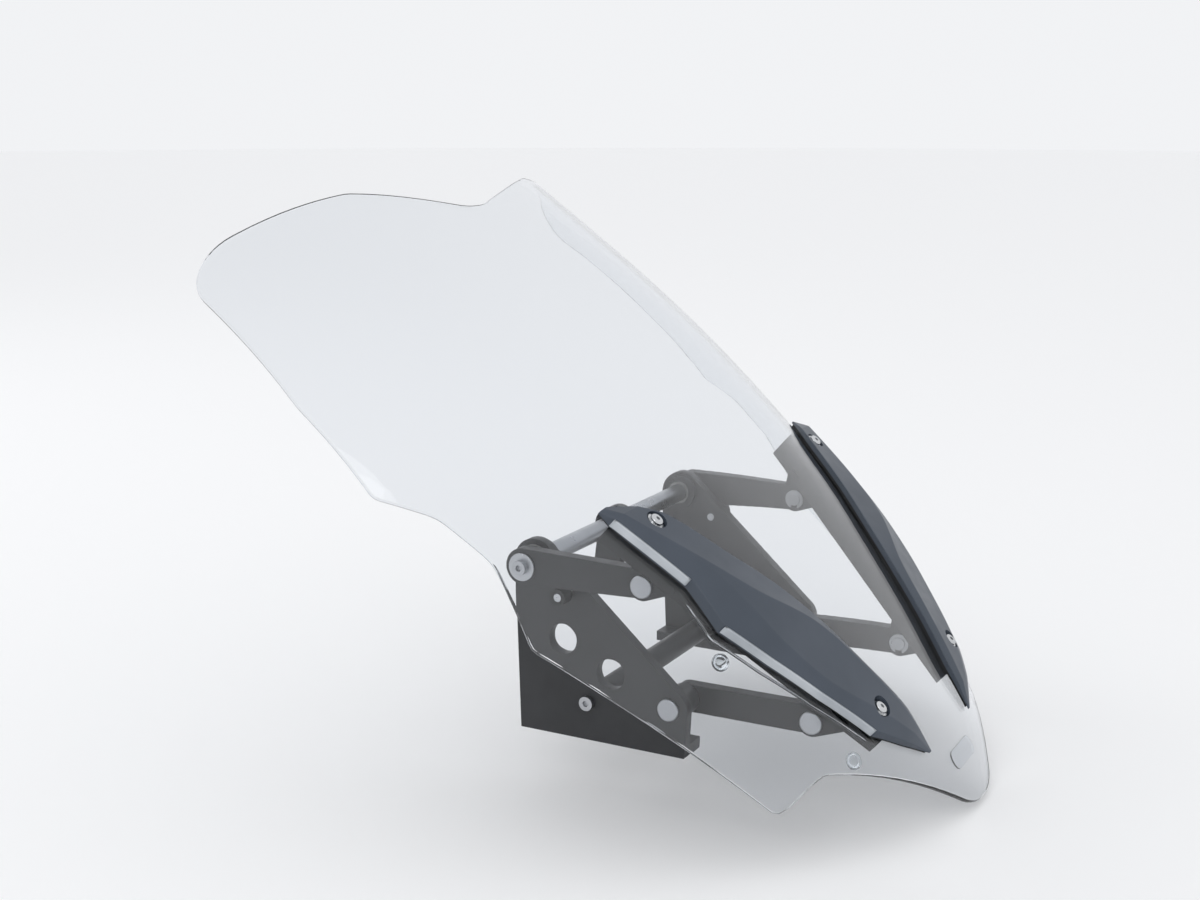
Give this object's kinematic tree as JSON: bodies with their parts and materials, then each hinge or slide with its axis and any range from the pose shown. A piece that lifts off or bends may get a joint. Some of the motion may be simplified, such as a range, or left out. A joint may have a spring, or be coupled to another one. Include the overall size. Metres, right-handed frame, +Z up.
{
  "type": "motorcycle windshield screen",
  "caption": "Clear curved touring windshield with faceted side trims, rubber-mounted screws and a parallelogram height-adjusting lift.",
  "frame": {"origin": "centre of the four base bolt holes, on the underside of the base feet", "axes": "+Z up, -Y towards the front wheel, +X to the rider's left"},
  "size_m": [0.5178, 0.4917, 0.4193],
  "materials": {
    "clear_sheet": "clear polished acrylic, faint blue-grey",
    "clear_rubber": "clear elastomer",
    "trim_plastic": "fine-grained satin, dark blue-grey",
    "silver_strip": "fine-grained silver",
    "black_rubber": "matt",
    "stainless": "bright stainless",
    "sleeve_aluminium": "plain",
    "insert_brass": "plain",
    "carrier_black": "glass-filled, satin",
    "arm_black": "satin black paint on cast aluminium",
    "shaft_steel": "zinc plated",
    "bush_polymer": "dark bearing polymer"
  },
  "bodies": {
    "base": {"base_bracket_left": "arm_black", "base_bracket_right": "arm_black", "cross_tube": "arm_black", "cross_tube_screws": "shaft_steel", "shaft_bushes": "bush_polymer", "guide_pins": "shaft_steel", "guide_pin_clips": "shaft_steel", "stop_pegs": "shaft_steel", "stop_buffers": "black_rubber"},
    "drive_arms": {"torque_shaft": "shaft_steel", "drive_arm_left": "arm_black", "drive_arm_right": "arm_black", "drive_arm_bushes": "bush_polymer", "drive_lever": "arm_black", "lever_pin": "shaft_steel", "shaft_end_screws": "shaft_steel", "shaft_end_washers": "shaft_steel"},
    "screen": {"windshield_sheet": "clear_sheet", "nose_badge": "clear_sheet", "guide_beads": "clear_sheet", "stop_bumpers": "clear_rubber", "screen_screws": "stainless", "screw_washers": "stainless", "spacer_sleeves": "sleeve_aluminium", "sheet_grommets": "black_rubber", "threaded_inserts": "insert_brass", "rear_hinge_pins": "shaft_steel", "front_hinge_pins": "shaft_steel", "carrier_pin_clips": "shaft_steel", "trim_cover_left": "trim_plastic", "upper_strip_left": "silver_strip", "lower_strip_left": "silver_strip", "trim_gasket_left": "black_rubber", "carrier_left": "carrier_black", "carrier_pad_left": "black_rubber", "trim_cover_right": "trim_plastic", "upper_strip_right": "silver_strip", "lower_strip_right": "silver_strip", "trim_gasket_right": "black_rubber", "carrier_right": "carrier_black", "carrier_pad_right": "black_rubber"},
    "guide_arm_left": {"guide_arm_left": "arm_black", "guide_bushes_left": "bush_polymer"},
    "guide_arm_right": {"guide_arm_right": "arm_black", "guide_bushes_right": "bush_polymer"}
  },
  "joints": [
    {"name": "lift", "type": "hinge", "parent": "base", "child": "drive_arms", "pos_m": [0, 0.05266, 0.12585], "axis": [-1, 0, 0], "range_deg": [0, 70]},
    {"name": "screen_pivot", "type": "hinge", "parent": "drive_arms", "child": "screen", "pos_m": [0, -0.04234, 0.12585], "axis": [-1, 0, 0], "range_deg": [-70, 0]},
    {"name": "guide_left", "type": "hinge", "parent": "base", "child": "guide_arm_left", "pos_m": [0.092, -0.053, 0.034], "axis": [-1, 0, 0], "range_deg": [0, 70]},
    {"name": "guide_right", "type": "hinge", "parent": "base", "child": "guide_arm_right", "pos_m": [-0.092, -0.053, 0.034], "axis": [-1, 0, 0], "range_deg": [0, 70]}
  ],
  "couplings": [
    {"joint": "screen_pivot", "follows": "lift", "ratio": -1},
    {"joint": "guide_left", "follows": "lift", "ratio": 1},
    {"joint": "guide_right", "follows": "lift", "ratio": 1}
  ]
}
